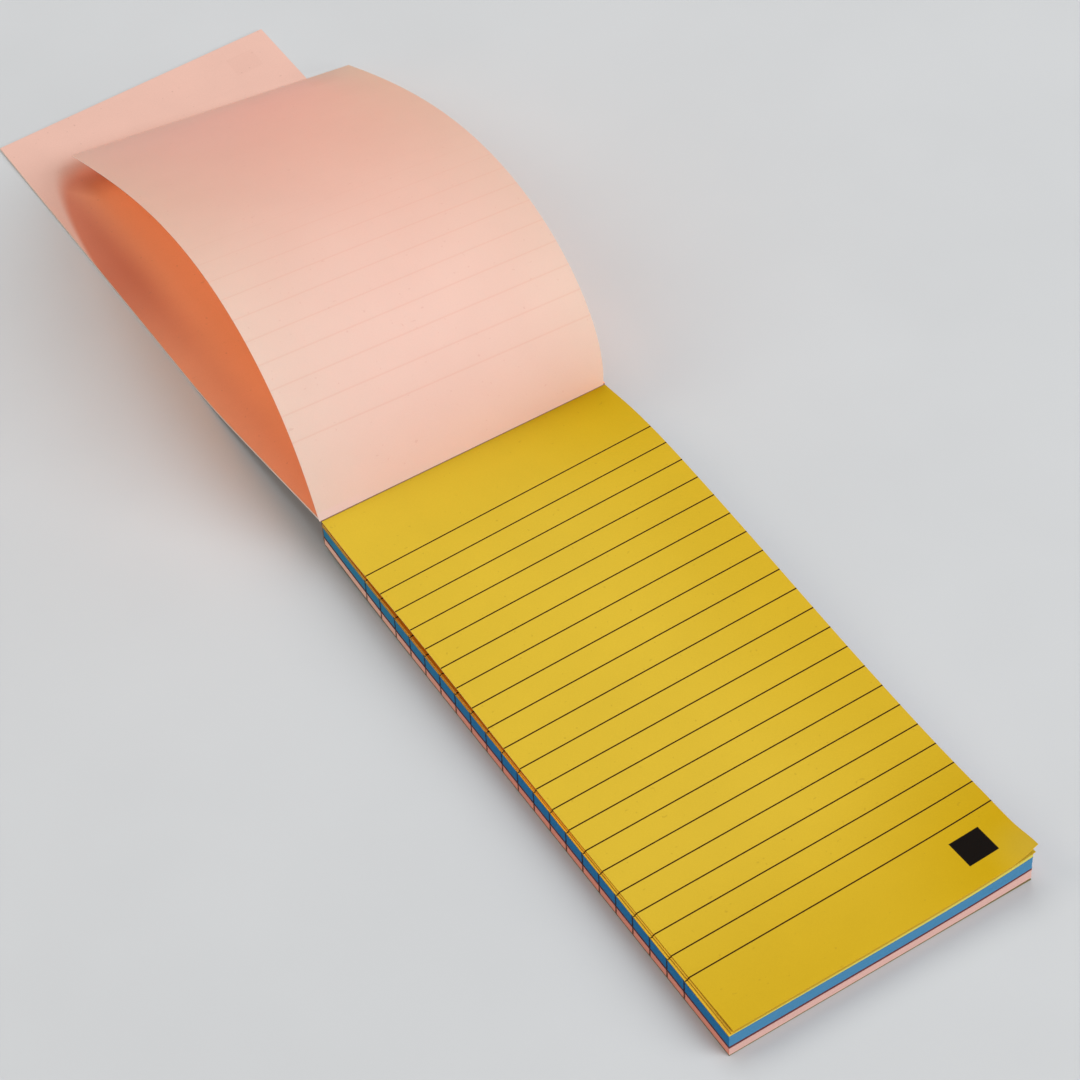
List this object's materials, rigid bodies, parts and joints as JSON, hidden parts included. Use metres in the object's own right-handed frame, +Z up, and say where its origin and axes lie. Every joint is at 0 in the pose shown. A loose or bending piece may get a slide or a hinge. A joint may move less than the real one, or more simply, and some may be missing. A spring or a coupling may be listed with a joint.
{
  "type": "notepad",
  "caption": "Slim tear-off notepad glued along one short edge, coloured page sections, ruled sheets, some turned over and one standing in an arch.",
  "frame": {"origin": "centre of the pad on the table, at the backing card's underside", "axes": "+X across the pad to the right, +Y along the pad from its free edge to its glued edge and on over the turned sheets, +Z up from the table"},
  "size_m": [0.1139, 0.4211, 0.0544],
  "materials": {
    "card": "matte",
    "pink_pages": "matte",
    "maroon_pages": "matte",
    "blue_pages": "matte",
    "yellow_pages": "matte",
    "yellow_sheets": "matte",
    "turned_pages": "matte",
    "arched_sheet": "matte",
    "glue": "satin"
  },
  "bodies": {
    "root": {"back_card": "card", "pink_pages": "pink_pages", "maroon_pages": "maroon_pages", "blue_pages": "blue_pages", "yellow_pages": "yellow_pages", "second_sheet": "yellow_sheets", "top_sheet": "yellow_sheets", "turned_pages": "turned_pages", "arched_sheet": "arched_sheet", "binding_glue": "glue"}
  },
  "joints": []
}
